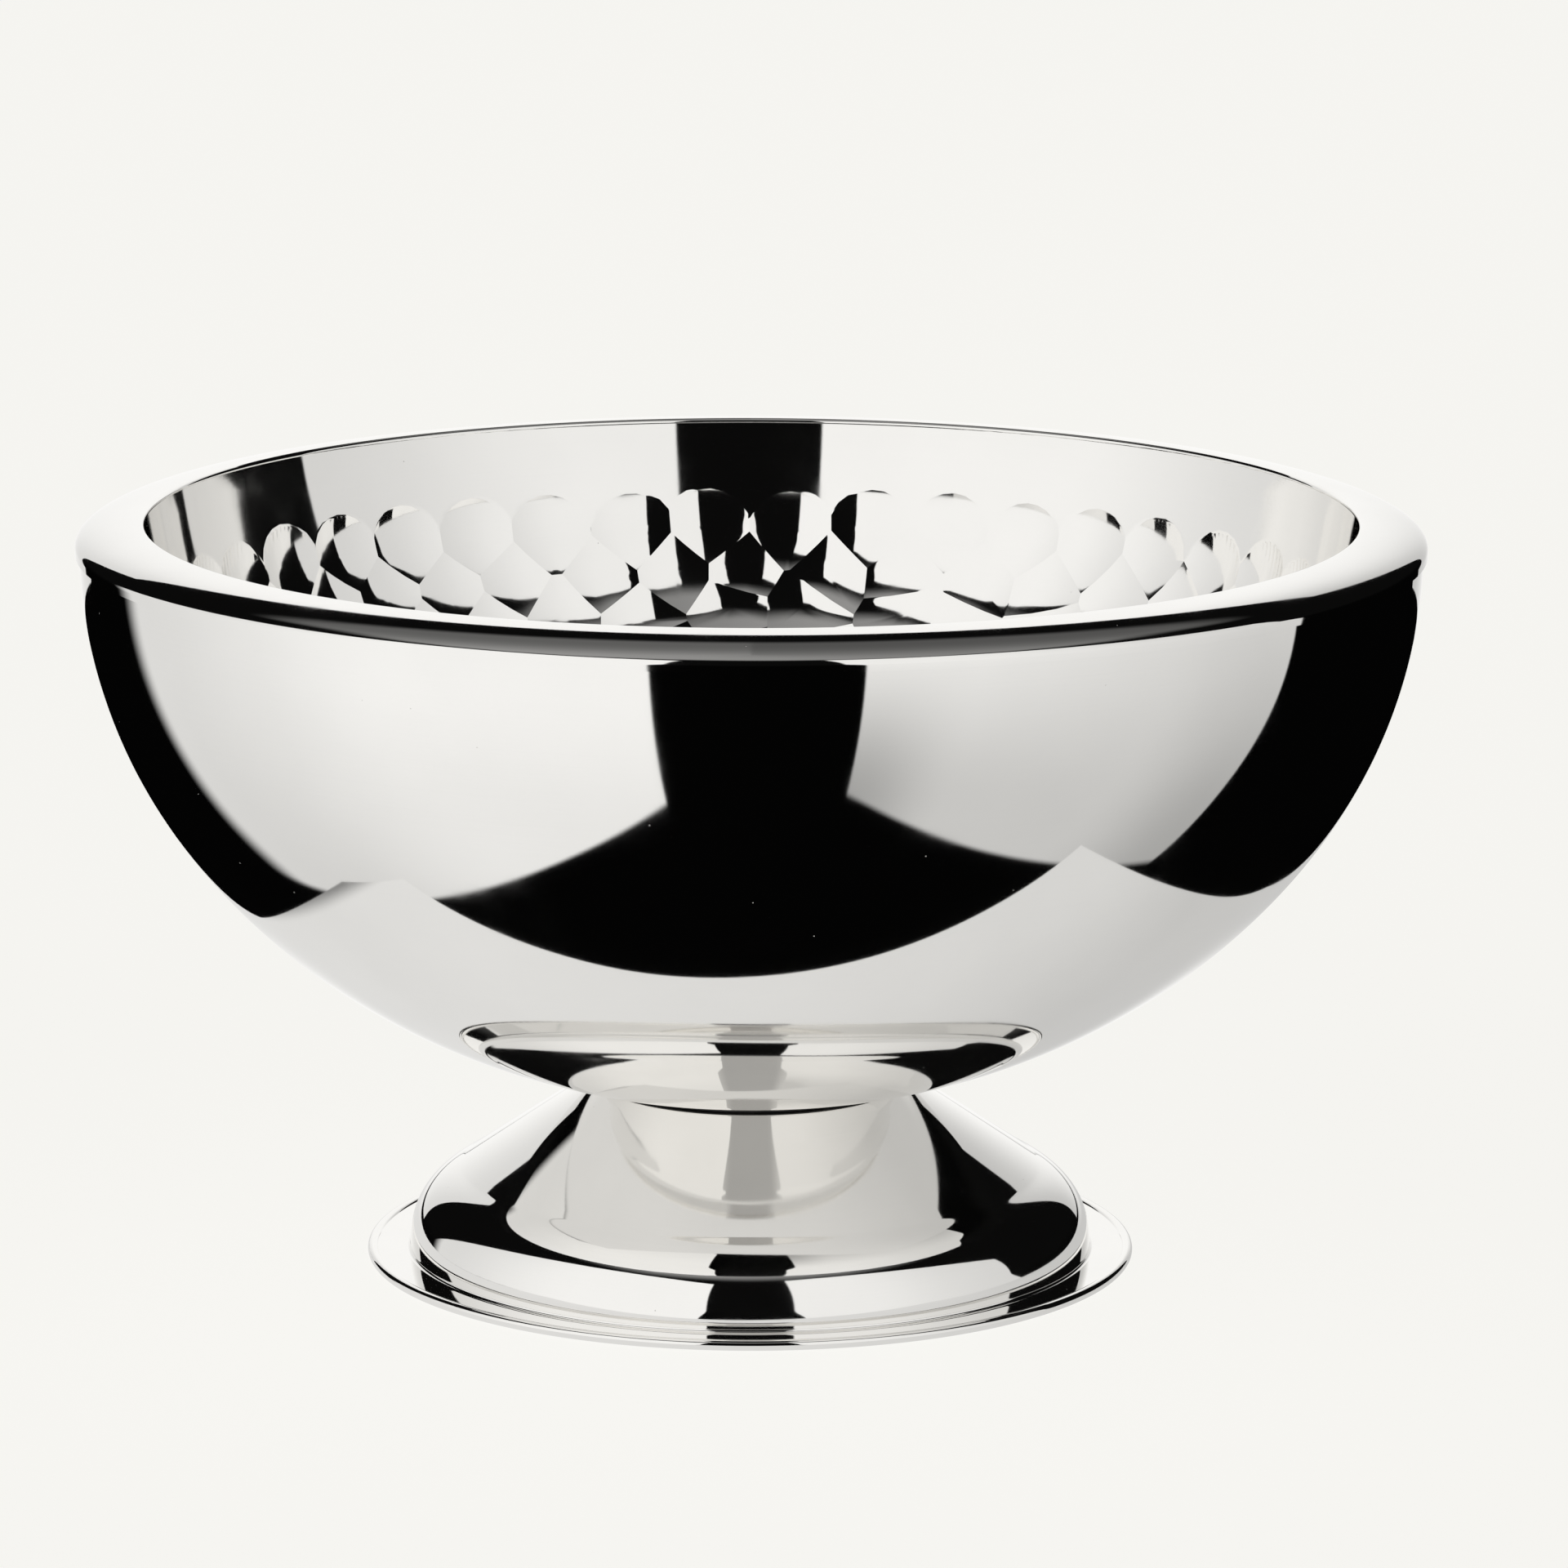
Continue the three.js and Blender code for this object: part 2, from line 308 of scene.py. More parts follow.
class Well:
    """The smooth inside of the inner bowl, as a function of the arc length from the middle of its floor."""

    def __init__(self):
        t = np.radians(np.linspace(-90, WELL_EDGE, 6001))
        depth = WELL_CENTRE - WELL_BOTTOM
        self.r = WELL_RADIUS * np.cos(t)
        self.z = WELL_CENTRE + depth * np.sin(t)
        self.r[0] = 0.0
        lengths = np.hypot(np.diff(self.r), np.diff(self.z))
        self.s = np.concatenate([[0], np.cumsum(lengths)])
        normal = np.column_stack([-np.cos(t) / WELL_RADIUS, -np.sin(t) / depth])
        self.normal = normal / np.linalg.norm(normal, axis=1)[:, None]
        # A conformal map of the surface onto a plane: shapes stay true, so cells can be laid out flat.
        middle_r = (self.r[1:] + self.r[:-1]) / 2
        grown = np.concatenate([[0], np.cumsum((lengths / middle_r)[::-1])])[::-1]
        self.rho = np.exp(-grown)
        self.rho[0] = 0.0

    def to_plane(self, s, azimuth):
        """The flat point of an arc length and azimuth; it may lie a little past the wall's upper end."""
        rho = np.interp(s, self.s, self.rho)
        if s > self.s[-1]:
            rho = math.exp((s - self.s[-1]) / WELL_RADIUS)
        return Vector((rho * math.cos(azimuth), rho * math.sin(azimuth)))

    def from_plane(self, point):
        """Arc length and azimuth of a flat point."""
        return float(np.interp(point.length, self.rho, self.s)), math.atan2(point.y, point.x)

    def at(self, s, azimuth, rise=0.0):
        """The 3-D point at an arc length and azimuth, moved off the wall towards the inside."""
        nr, nz = (np.interp(s, self.s, self.normal[:, i]) for i in (0, 1))
        r = float(np.interp(s, self.s, self.r) + nr * rise)
        z = float(np.interp(s, self.s, self.z) + nz * rise)
        return Vector((r * math.cos(azimuth), r * math.sin(azimuth), z))

    def length_at_height(self, z):
        return float(np.interp(z, self.z, self.s))


class HammeredWell:
    """Mesh of the dented inside. Ridges between dents are edges of the mesh, so they stay crisp."""

    def __init__(self, well, chance):
        self.well = well
        self.reach = math.sqrt(2 * DENT_RADIUS * DENT_DEPTH)
        self.first_row = well.length_at_height(HAMMER_TOP) - self.reach
        self.vertices, self.faces, self.heights = [], [], []
        self.sites = self.strike(chance)
        self.centres = [well.at(*site) for site in self.sites]
        self.plane = [well.to_plane(*site) for site in self.sites]
        self.rim = []
        self.build()

    def strike(self, chance):
        """Where the hammer falls: rows round the bowl, each dent a little off its place."""
        sites, s, row = [], self.first_row, 0
        while s > 0:
            r = float(np.interp(s, self.well.s, self.well.r))
            if row != 1:  # the second row fits the gaps of the first
                count = max(1, round(2 * math.pi * r / DENT_WIDTH))
            for k in range(count):
                loose = min(1.0, TOP_ROW_CARE + TOP_ROW_CARE * row)
                along = (k + 0.5 * (row % 2) + loose * DENT_JITTER[0] * chance.uniform(-1, 1)) / count
                across = loose * DENT_ROW * DENT_JITTER[1] * chance.uniform(-1, 1)
                sites.append((max(s + across, 0.0), 2 * math.pi * along))
            s -= DENT_ROW
            row += 1
        return sites

    def sink(self, s):
        """How far the dents' bottoms lie behind the smooth wall."""
        t = min(max((self.first_row - s) / DENT_FADE, 0.0), 1.0)
        return DENT_DEPTH * (1 - t * t * (3 - 2 * t))

    def backing(self, s):
        """How far the hidden side has to lie behind a plain sheet's, to leave room for the dents."""
        above = (s - self.first_row - self.reach) / 10
        return self.sink(s) * min(max(1 - above, 0.0), 1.0)

    def height(self, point, owners):
        """Height over the dents' bottoms, as the mean of the dents that meet at this point."""
        place = self.well.at(*self.well.from_plane(point))
        return sum((place - self.centres[i]).length_squared for i in owners) / len(owners) / (2 * DENT_RADIUS)

    def vertex(self, point, height):
        """A new vertex at a flat point, this high over the dents' bottoms."""
        s, azimuth = self.well.from_plane(point)
        self.vertices.append(self.well.at(s, azimuth, height - self.sink(s)))
        self.heights.append(height)
        return len(self.vertices) - 1

    def build(self):
        """Cells of a Voronoi diagram in the plane: their edges become ridges, their insides dents."""
        flat = [*self.plane, *self.ghost_sites()]
        triangles = [tuple(f) for f in delaunay_2d_cdt(flat, [], [], 0, 1e-9)[2]]
        corners = [circumcentre(*(flat[i] for i in triangle)) for triangle in triangles]
        real = len(self.plane)
        around = {}
        for t, triangle in enumerate(triangles):
            for i, j in zip(triangle, triangle[1:] + triangle[:1]):
                around.setdefault(frozenset((i, j)), []).append(t)
        outer = [any(i >= real for i in triangle) for triangle in triangles]
        corner_vertex = {}
        ridges = {}
        for pair, (a, b) in ((p, ts) for p, ts in around.items() if len(ts) == 2 and max(p) < real):
            if outer[a] and outer[b]:
                raise RuntimeError("a dent reaches the smooth wall on both sides of its ridge")
            if outer[a]:
                a, b = b, a
            start, end = corners[a], corners[b]
            owners = tuple(pair)
            if a not in corner_vertex:
                corner_vertex[a] = self.corner(start, triangles[a])
            if outer[b]:
                end = self.cut(start, end, owners)
                last = self.rim_vertex(end, DENT_DEPTH)
            else:
                if b not in corner_vertex:
                    corner_vertex[b] = self.corner(end, triangles[b])
                last = corner_vertex[b]
            middle = [start.lerp(end, k / EDGE_PARTS) for k in range(1, EDGE_PARTS)]
            inner = [(self.vertex(p, self.height(p, owners)), p) for p in middle]
            ridges[pair] = [(corner_vertex[a], start), *inner, (last, end)]
        for i in range(real):
            self.cell(i, [ridge for pair, ridge in ridges.items() if i in pair])

    def ghost_sites(self):
        """Sites above the top row, which only close its cells."""
        count = 3 * round(2 * math.pi * WELL_RADIUS / DENT_WIDTH)
        s = self.first_row + 3 * self.reach
        return [self.well.to_plane(s, 2 * math.pi * k / count) for k in range(count)]

    def corner(self, point, owners):
        """The vertex where three dents meet."""
        return self.vertex(point, self.height(point, owners))

    def cut(self, start, end, owners):
        """Where a ridge of the top row runs out into the smooth wall."""
        if self.height(start, owners) >= DENT_DEPTH:
            raise RuntimeError("two dents of the top row do not meet")
        low, high = 0.0, 1.0
        for _ in range(40):
            middle = (low + high) / 2
            if self.height(start.lerp(end, middle), owners) < DENT_DEPTH:
                low = middle
            else:
                high = middle
        return start.lerp(end, low)

    def rim_vertex(self, point, height):
        """A vertex on the line where the dents end and the smooth band starts."""
        index = self.vertex(point, height)
        s, azimuth = self.well.from_plane(point)
        self.rim.append((azimuth, s, index))
        return index

    def cell(self, i, ridges):
        """One dent: rings of vertices from its middle out to its ridges."""
        middle = self.plane[i]
        loose = [ridge[:] for ridge in ridges]
        for ridge in loose:
            first, last = (direction(middle, ridge[end][1]) for end in (0, -1))
            swing = (last - first + math.pi) % (2 * math.pi) - math.pi
            if swing < 0:
                ridge.reverse()
        loop = [loose.pop()]
        while loose:
            found = [ridge for ridge in loose if ridge[0][0] == loop[-1][-1][0]]
            if not found:
                found = [ridge for ridge in loose if all(r[-1][0] != ridge[0][0] for r in loose + loop)]
            loop.append(found[0])
            loose.remove(found[0])
        border = []
        for ridge, following in zip(loop, loop[1:] + loop[:1]):
            border += ridge[:-1] if ridge[-1][0] == following[0][0] else ridge
            if ridge[-1][0] != following[0][0]:
                border += self.scallop(i, ridge[-1][1], following[0][1])
        rings = []
        for share in DENT_RINGS:
            rise = share ** 2
            rings.append([self.vertex(middle.lerp(p, share), rise * self.heights[v]) for v, p in border])
        rings.append([index for index, _ in border])
        centre = self.vertex(middle, 0.0)
        count = len(border)
        for k in range(count):
            n = (k + 1) % count
            self.faces.append((centre, rings[0][k], rings[0][n]))
            for inner, outer in zip(rings, rings[1:]):
                self.faces.append((inner[k], outer[k], outer[n], inner[n]))

    def scallop(self, i, start, end):
        """The round edge of a top dent in the smooth wall, between its two ridges."""
        middle = self.plane[i]
        scale = self.reach * middle.length / float(np.interp(self.sites[i][0], self.well.s, self.well.r))
        first, last = (direction(middle, p) for p in (start, end))
        sweep = (last - first) % (2 * math.pi)
        points = []
        for k in range(1, SCALLOP_PARTS):
            t = k / SCALLOP_PARTS
            angle = first + sweep * t
            ends = (start - middle).length * (1 - t) + (end - middle).length * t
            blend = 4 * t * (1 - t)
            radius = ends * (1 - blend) + scale * blend
            point = middle + Vector((math.cos(angle), math.sin(angle))) * radius
            points.append((self.rim_vertex(point, DENT_DEPTH), point))
        return points


def direction(start, end):
    """Angle of the way from one flat point to another."""
    return math.atan2(end.y - start.y, end.x - start.x)


def circumcentre(a, b, c):
    """The point as far from a as from b and c."""
    ab, ac = b - a, c - a
    cross = 2 * (ab.x * ac.y - ab.y * ac.x)
    u = Vector((ac.y * ab.length_squared - ab.y * ac.length_squared,
                ab.x * ac.length_squared - ac.x * ab.length_squared))
    return a + u / cross


def inner_bowl():
    """The hammered inside, the smooth band above it, the rim and the hidden outer face, as one sheet."""
    well = Well()
    hammered = HammeredWell(well, random.Random(HAMMER_SEED))
    vertices, faces = list(hammered.vertices), list(hammered.faces)
    rim = sorted((azimuth % (2 * math.pi), s, index) for azimuth, s, index in hammered.rim)
    angles = [azimuth for azimuth, _, _ in rim]
    rows = [[index for _, _, index in rim]]
    band_top = well.s[-1]
    for step in BAND_RINGS:
        rows.append([len(vertices) + k for k in range(len(rim))])
        vertices += [well.at(s + (band_top - s) * step, azimuth) for azimuth, s, _ in rim]
    back_radii = (WELL_RADIUS + BOWL_SHEET, WELL_CENTRE - WELL_BOTTOM + BOWL_SHEET)
    back = ellipse_arc((0, WELL_CENTRE), back_radii, WELL_EDGE, -90, 24)
    back = [(r + hammered.backing(well.length_at_height(z)), z) for r, z in back[:-1]]
    top = flange_path()
    outline = joined(top, flange_back(top), back, [(0.0, WELL_BOTTOM - BOWL_SHEET)])
    turned_vertices, turned_faces = turned_grid(outline, angles, closed=False, first=len(vertices))
    rows.append([len(vertices) + k for k in range(len(angles))])
    faces += faces_between(list(zip(rows, rows[1:])))
    faces += turned_faces
    vertices += turned_vertices
    vertices = [wandering(v, RIM_WAVE) for v in vertices]
    return make_piece("inner_bowl_hammered", vertices, faces, sharp_degrees=11)


def outer_shell():
    """The mirror-polished outside, half an ellipse with a flat seat in its middle."""
    seat_angle = math.degrees(math.asin((SEAT_Z - SHELL_CENTRE) / SHELL_DEPTH))
    path = joined(
        [(STUD_HOLE_R, SEAT_Z)],
        ellipse_arc((0, SHELL_CENTRE), (SHELL_RADIUS, SHELL_DEPTH), seat_angle, 0, 110),
        [(SHELL_RADIUS, SHELL_HIGH.z)],
    )
    return turned("outer_shell_polished", sheet_outline(path, BOWL_SHEET), wave=shell_wave)


def shell_wave(z):
    return RIM_WAVE + SHELL_WAVE * min((RIM_TOP - z) / SHELL_WAVE_START, 1.0)


# ---------------------------------------------------------------- the foot

def foot_path():
    """The foot's outer face, from the stud's hole out and down to the end of the rolled edge."""
    cone = np.subtract(CONE_END, CONE_START)
    along = cone / np.linalg.norm(cone)
    straight = [tuple(np.add(CONE_START, cone * t)) for t in np.linspace(0, 1, 15)]
    shoulder = bezier(CONE_END, tuple(np.add(CONE_END, along * SHOULDER_HANDLES[0])),
                      (SHOULDER_END[0], SHOULDER_END[1] + SHOULDER_HANDLES[1]), SHOULDER_END, 36)
    fillet_centre = (SHOULDER_END[0] + FOOT_FILLET, FOOT_FLANGE_Z + FOOT_FILLET)
    flange_level = 180 - math.degrees(math.asin((FOOT_FLANGE_Z - BEAD_RADIUS) / BEAD_RADIUS))
    bead_radii = (BEAD_RADIUS, BEAD_RADIUS)
    top_end = (FOOT_TOP_R, FOOT_TOP)
    handles = [tuple(np.add(p, h)) for p, h in zip((top_end, CONE_START), TOP_EDGE_HANDLES)]
    return joined(
        [(STUD_HOLE_R, FOOT_TOP)],
        bezier(top_end, *handles, CONE_START, 8),
        straight,
        shoulder,
        ellipse_arc(fillet_centre, (FOOT_FILLET, FOOT_FILLET), 180, 270, 12),
        [(fillet_centre[0] + FLAT_START, FOOT_FLANGE_Z)],
        ellipse_arc((BEAD_CENTRE_R, BEAD_RADIUS), bead_radii, flange_level - BEAD_LEAD, BEAD_END, 34),
    )


def pedestal_foot():
    """The spun foot, as one sheet with its edge rolled round the wire."""
    outline = sheet_outline(foot_path(), -FOOT_SHEET)
    return turned("pedestal_foot_spun", outline, sharp_degrees=50, wave=lambda z: FOOT_WAVE)


# ---------------------------------------------------------------- parts out of sight

def ring_outline(inner, outer, bottom, top, chamfer):
    """A rectangle with its four corners cut."""
    return [(inner, bottom + chamfer), (inner + chamfer, bottom),
            (outer - chamfer, bottom), (outer, bottom + chamfer),
            (outer, top - chamfer), (outer - chamfer, top),
            (inner + chamfer, top), (inner, top - chamfer)]


def ring_piece(name, node, chamfer, inner):
    """A flat ring as high and as wide as a CAD node."""
    low, high = box_mm(node)
    return turned(name, ring_outline(inner, high.x, low.z, high.z, chamfer), SMALL_TURN_STEPS)


def seat_gasket():
    """A rubber washer, whose outer edge is squeezed out a little."""
    low, high = box_mm("seat_gasket")
    middle, half = (low.z + high.z) / 2, (high.z - low.z) / 2
    outline = joined([(GASKET_INNER_R, high.z), (GASKET_INNER_R, low.z)],
                     ellipse_arc((high.x - half, middle), (half, half), -90, 90, 10))
    return turned("seat_gasket_moulded", outline)


def rim_bond_ring():
    """Resin that fills the dome of the flange behind the seam, with a sagging inner face."""
    low, high = box_mm("rim_bond_ring")
    width = FLANGE_WIDTH - BOWL_SHEET - BOND_GAP
    rise = FLANGE_RISE - BOWL_SHEET - BOND_GAP
    wide, narrow = (math.degrees(math.acos((r - LIP_TOP_R) / width)) for r in (high.x, high.x - BOND_WIDTH))
    outline = joined([(high.x - BOND_FOOT, low.z), (high.x, low.z)],
                     ellipse_arc((LIP_TOP_R, FLANGE_FOOT), (width, rise), wide, narrow, 8),
                     bezier((high.x - BOND_WIDTH, high.z - 0.5), (high.x - BOND_WIDTH, high.z - 3),
                            (high.x - BOND_FOOT - 1, low.z + 2), (high.x - BOND_FOOT, low.z), 6))
    return turned("rim_bond_cast", outline, SMALL_TURN_STEPS * 2)


def foot_edge_wire():
    outline = ellipse_arc((BEAD_CENTRE_R, BEAD_RADIUS), (WIRE_RADIUS, WIRE_RADIUS), 0, 350, 15)
    return turned("foot_edge_wire_drawn", outline, sharp_degrees=60)


def spreader_plate():
    """A pressed plate, flat in the middle and dished towards its edge."""
    low, high = box_mm("spreader_plate")
    height = high.z - low.z - SPREADER_DISH
    bend = (high.x - SPREADER_EDGE, high.z - height)
    flat_end = (bend[0] - SPREADER_BEND, bend[1])
    path = joined([(STUD_HOLE_R, high.z - height), flat_end],
                  bezier(flat_end, bend, bend, (high.x, low.z), 12))
    return turned("spreader_plate_pressed", sheet_outline(path, height), SMALL_TURN_STEPS * 2)


def foot_stud():
    """A round head and a shank with a real helical thread."""
    low, high = box_mm("foot_stud")
    head_bottom = high.z - STUD_HEAD
    top_z = head_bottom - THREAD_PITCH
    angles = np.linspace(0, 2 * math.pi, STUD_STEPS, endpoint=False)
    vertices, shank = [], []
    for z in np.arange(low.z, top_z, THREAD_PITCH / THREAD_ROWS):
        tip = min((z - low.z) / STUD_CHAMFER, 1.0)
        run_out = min((top_z - z) / (3 * THREAD_PITCH), 1.0)
        shank.append([len(vertices) + k for k in range(STUD_STEPS)])
        for a in angles:
            turn = (z / THREAD_PITCH - a / (2 * math.pi)) % 1.0
            groove = THREAD_DEPTH * min(1.0, 2 * min(turn, 1 - turn) * 1.25) * run_out
            r = min(STUD_RADIUS - groove, STUD_RADIUS - STUD_CHAMFER * (1 - tip))
            vertices.append((r * math.cos(a), r * math.sin(a), z))
    dome = bezier((high.x, high.z - STUD_HEAD / 2), (high.x, high.z), (high.x * 0.6, high.z), (0, high.z), 12)
    head = [(STUD_RADIUS, top_z), (STUD_RADIUS, head_bottom), (high.x - STUD_EDGE, head_bottom),
            (high.x, head_bottom + STUD_EDGE), *dome]
    head_vertices, head_faces = turned_grid(head[::-1], angles, closed=False, first=len(vertices))
    vertices += head_vertices
    joint = [len(vertices) - STUD_STEPS + k for k in range(STUD_STEPS)]
    faces = [*head_faces, *faces_between([(joint, shank[-1])])]
    faces += faces_between(list(zip(shank[::-1], shank[::-1][1:])))
    faces.append(shank[0][::-1])
    return make_piece("foot_stud_threaded", vertices, faces, sharp_degrees=40)


def hex_nut():
    """A nut with its corners turned off at both ends."""
    low, high = box_mm("hex_nut")
    half = NUT_ACROSS_FLATS / 2
    steps = SMALL_TURN_STEPS
    angles = np.linspace(0, 2 * math.pi, steps, endpoint=False)
    corners = [half / math.cos(a % (math.pi / 3) - math.pi / 6) for a in angles]
    face_r = half * 0.97
    falls = [(r - face_r) * math.tan(math.radians(NUT_CHAMFER_DEG)) for r in corners]
    rings = [
        [(STUD_HOLE_R, high.z - NUT_BORE_EDGE)] * steps,
        [(STUD_HOLE_R + NUT_BORE_EDGE, high.z)] * steps,
        [(face_r, high.z)] * steps,
        [(r, high.z - fall) for r, fall in zip(corners, falls)],
        [(r, low.z + fall) for r, fall in zip(corners, falls)],
        [(face_r, low.z)] * steps,
        [(STUD_HOLE_R + NUT_BORE_EDGE, low.z)] * steps,
        [(STUD_HOLE_R, low.z + NUT_BORE_EDGE)] * steps,
    ]
    vertices = [(r * math.cos(a), r * math.sin(a), z) for ring in rings for (r, z), a in zip(ring, angles)]
    rows = [[j * steps + k for k in range(steps)] for j in range(len(rings))]
    faces = faces_between(list(zip(rows, rows[1:] + rows[:1])))
    return make_piece("hex_nut_chamfered", vertices, faces, sharp_degrees=25)


def spring_washer():
    """A split ring; both faces of the split are slanted."""
    low, high = box_mm("spring_washer")
    outline = clockwise(ring_outline(STUD_HOLE_R, high.x, low.z, high.z, 0.25))
    vertices, rows = [], []
    for a in np.linspace(SPLIT, 2 * math.pi - SPLIT, 80):
        near_split = abs(a - math.pi) > 0.9 * math.pi
        rows.append([len(vertices) + k for k in range(len(outline))])
        for r, z in outline:
            slant = SPLIT_SLANT * (z - low.z - 1) if near_split else 0.0
            vertices.append((r * math.cos(a + slant), r * math.sin(a + slant), z))
    faces = faces_between([(high_row, low_row) for low_row, high_row in zip(rows, rows[1:])])
    faces += [rows[0][::-1], rows[-1]]
    return make_piece("spring_washer_split", vertices, faces, sharp_degrees=35)


# ---------------------------------------------------------------- node formulas

class Field:
    """A number in a node tree; arithmetic on it adds the nodes."""

    def __init__(self, tree, socket):
        self.tree, self.socket = tree, socket

    def math(self, operation, *others):
        node = self.tree.nodes.new("ShaderNodeMath")
        node.operation = operation
        for place, value in zip(node.inputs, (self, *others)):
            self.feed(place, value)
        return Field(self.tree, node.outputs[0])

    def feed(self, place, value):
        if isinstance(value, Field):
            self.tree.links.new(value.socket, place)
        else:
            place.default_value = value

    def __add__(self, other):
        return self.math("ADD", other)

    def __sub__(self, other):
        return self.math("SUBTRACT", other)

    def __mul__(self, other):
        return self.math("MULTIPLY", other)

    def __truediv__(self, other):
        return self.math("DIVIDE", other)

    def between(self, start, end, low=0.0, high=1.0, smooth=True):
        """low below start, high above end, and a slope between the two."""
        node = self.tree.nodes.new("ShaderNodeMapRange")
        node.interpolation_type = "SMOOTHSTEP" if smooth else "LINEAR"
        for place, value in zip(node.inputs, (self, start, end, low, high)):
            self.feed(place, value)
        return Field(self.tree, node.outputs[0])

    def after(self, edge, soft):
        """1 past an edge and 0 before it, with a slope this far to each side."""
        return self.between(edge - soft, edge + soft)

    def before(self, edge, soft):
        return self.between(edge - soft, edge + soft, 1.0, 0.0)

    def mix(self, first, second):
        """first where this is 0, second where it is 1."""
        return self.between(0.0, 1.0, first, second, smooth=False)


class Tree:
    """The node tree of a material or a world, built from formulas."""

    def __init__(self, owner):
        owner.use_nodes = True
        self.tree = owner.node_tree
        self.tree.nodes.clear()

    def node(self, kind, inputs=(), **settings):
        """A node with values, fields or sockets at its inputs."""
        node = self.tree.nodes.new(kind)
        for key, value in settings.items():
            setattr(node, key, value)
        for key, value in dict(inputs).items():
            if isinstance(value, Field):
                self.tree.links.new(value.socket, node.inputs[key])
            elif isinstance(value, bpy.types.NodeSocket):
                self.tree.links.new(value, node.inputs[key])
            else:
                node.inputs[key].default_value = value
        return node

    def field(self, socket):
        return Field(self.tree, socket)

    def position(self, output="Object"):
        """x, y and z of the shaded point, or of the direction in a world."""
        split = self.node("ShaderNodeSeparateXYZ", {0: self.node("ShaderNodeTexCoord").outputs[output]})
        return [self.field(socket) for socket in split.outputs]

    def noise(self, vector, scale, detail):
        node = self.node("ShaderNodeTexNoise", {"Vector": vector, "Scale": scale, "Detail": detail})
        return self.field(node.outputs[0])

    def object_vector(self):
        return self.node("ShaderNodeTexCoord").outputs["Object"]

    def ramp(self, field, *stops):
        """Colours at places along a field."""
        node = self.node("ShaderNodeValToRGB", {0: field})
        elements = node.color_ramp.elements
        while len(elements) < len(stops):
            elements.new(0.5)
        for element, (place, colour) in zip(elements, stops):
            element.position = place
            element.color = (*colour, 1)
        return node.outputs[0]


def linear(display):
    """Scene value of a display value."""
    return display / 12.92 if display < 0.04045 else ((display + 0.055) / 1.055) ** 2.4


# ---------------------------------------------------------------- materials

def turned_streaks(tree, fineness, reach=0.9):
    """Noise drawn out round the axis, as left by turning and polishing."""
    x, y, z = tree.position()
    r = (x * x + y * y).math("SQRT")
    safe = r.math("MAXIMUM", MM)
    vector = tree.node("ShaderNodeCombineXYZ", {0: x / safe * reach, 1: y / safe * reach, 2: r * fineness})
    node = tree.node("ShaderNodeTexNoise", {"Vector": vector.outputs[0], "Scale": 1.0, "Detail": 3.0,
                                            "W": z * fineness}, noise_dimensions="4D")
    return tree.field(node.outputs[0])


def dust(tree, size, spacing):
    """1 on a few specks of dust, 0 elsewhere."""
    cells = tree.node("ShaderNodeTexVoronoi", {"Vector": tree.object_vector(), "Scale": 1 / spacing})
    chance = tree.field(cells.outputs["Color"])
    near = tree.field(cells.outputs["Distance"])
    return near.between(size / spacing, size / spacing * 1.5, 1.0, 0.0) * chance.between(0.62, 0.64)


def silver(name, tint, roughness, patches, streak_depth):
    """Mirror-polished plated metal: faint patches, fine turned streaks and specks of dust."""
    material = bpy.data.materials.new(name)
    tree = Tree(material)
    here = tree.object_vector()
    patch = tree.noise(here, 28.0, 4.0)
    grain = tree.noise(here, 900.0, 2.0)
    streaks = turned_streaks(tree, 5200.0)
    speck = dust(tree, DUST_SIZE, DUST_SPACING)
    tone = patch * 0.7 + streaks * 0.3
    low = tuple(c * 0.965 for c in tint)
    colour = tree.ramp(tone, (0.3, low), (0.7, tint))
    dusty = tree.node("ShaderNodeMix", {"Factor": speck, "A": colour, "B": DUST_COLOUR}, data_type="RGBA")
    worn = patch.between(0.45, 0.75, 0.0, patches)
    rough = worn + streaks * 0.012 + grain * 0.01 + roughness
    tangent = tree.node("ShaderNodeTangent", direction_type="RADIAL", axis="Z")
    relief = streaks + grain * 0.4
    bump = tree.node("ShaderNodeBump", {"Height": relief, "Distance": streak_depth, "Strength": 1.0})
    shader = tree.node("ShaderNodeBsdfPrincipled", {
        "Base Color": dusty.outputs["Result"], "Metallic": speck.between(0.0, 1.0, 1.0, 0.0),
        "Roughness": (speck * 0.6 + rough).math("MINIMUM", 1.0), "Normal": bump.outputs[0],
        "Anisotropic": 0.8, "Anisotropic Rotation": 0.25, "Tangent": tangent.outputs[0]})
    tree.node("ShaderNodeOutputMaterial", {"Surface": shader.outputs[0]})
    return material


def steel(name):
    """Turned and rolled steel, duller than the silver, with a few dark spots."""
    material = bpy.data.materials.new(name)
    tree = Tree(material)
    patch = tree.noise(tree.object_vector(), 160.0, 5.0)
    streaks = turned_streaks(tree, 3800.0)
    colour = tree.ramp(patch, (0.25, (0.33, 0.32, 0.31)), (0.45, (0.52, 0.52, 0.51)),
                       (0.8, (0.62, 0.62, 0.60)))
    bump = tree.node("ShaderNodeBump", {"Height": streaks + patch * 0.3, "Distance": 0.01 * MM})
    shader = tree.node("ShaderNodeBsdfPrincipled", {
        "Base Color": colour, "Metallic": 1.0, "Roughness": streaks * 0.22 + patch * 0.18 + 0.12,
        "Normal": bump.outputs[0]})
    tree.node("ShaderNodeOutputMaterial", {"Surface": shader.outputs[0]})
    return material


